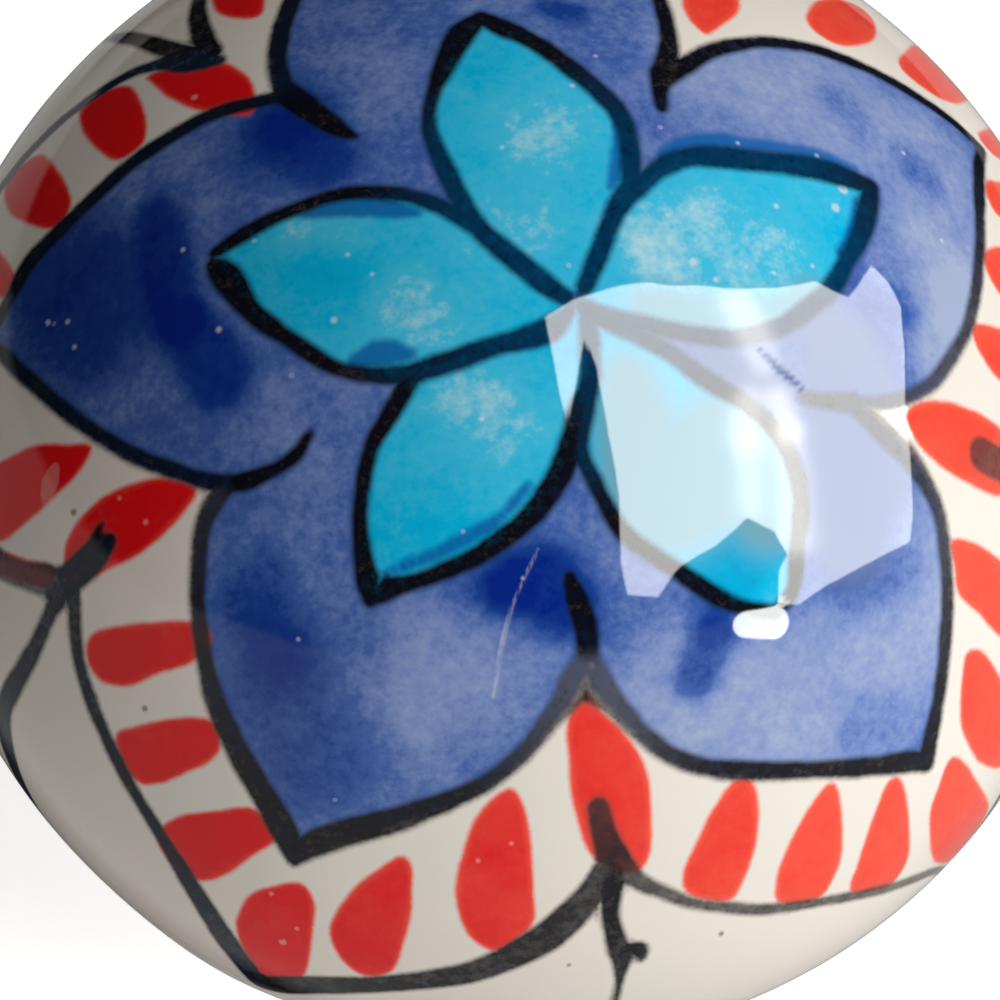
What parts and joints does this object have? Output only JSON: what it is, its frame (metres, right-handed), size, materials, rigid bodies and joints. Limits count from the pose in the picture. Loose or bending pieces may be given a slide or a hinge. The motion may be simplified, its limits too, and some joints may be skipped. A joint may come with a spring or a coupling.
{
  "type": "cabinet knob",
  "caption": "Round glazed ceramic cabinet knob on a waisted foot, hand painted with a flower, with a brass M4 insert potted in a blind pocket in the foot.",
  "frame": {"origin": "centre of the plane that the foot bears on, against the door or drawer front", "axes": "+Z along the knob's axis, out of the door towards the domed face; X and Y lie in the door's plane"},
  "size_m": [0.04, 0.04, 0.0329],
  "materials": {
    "glazed_ceramic": "clear gloss glaze over hand painted cobalt, turquoise, red and black on off-white",
    "brass": "turned and knurled, slightly dull",
    "cement": "matt grey potting cement"
  },
  "bodies": {
    "root": {"ceramic_head": "glazed_ceramic", "threaded_insert": "brass", "potting_cement": "cement"}
  },
  "joints": []
}
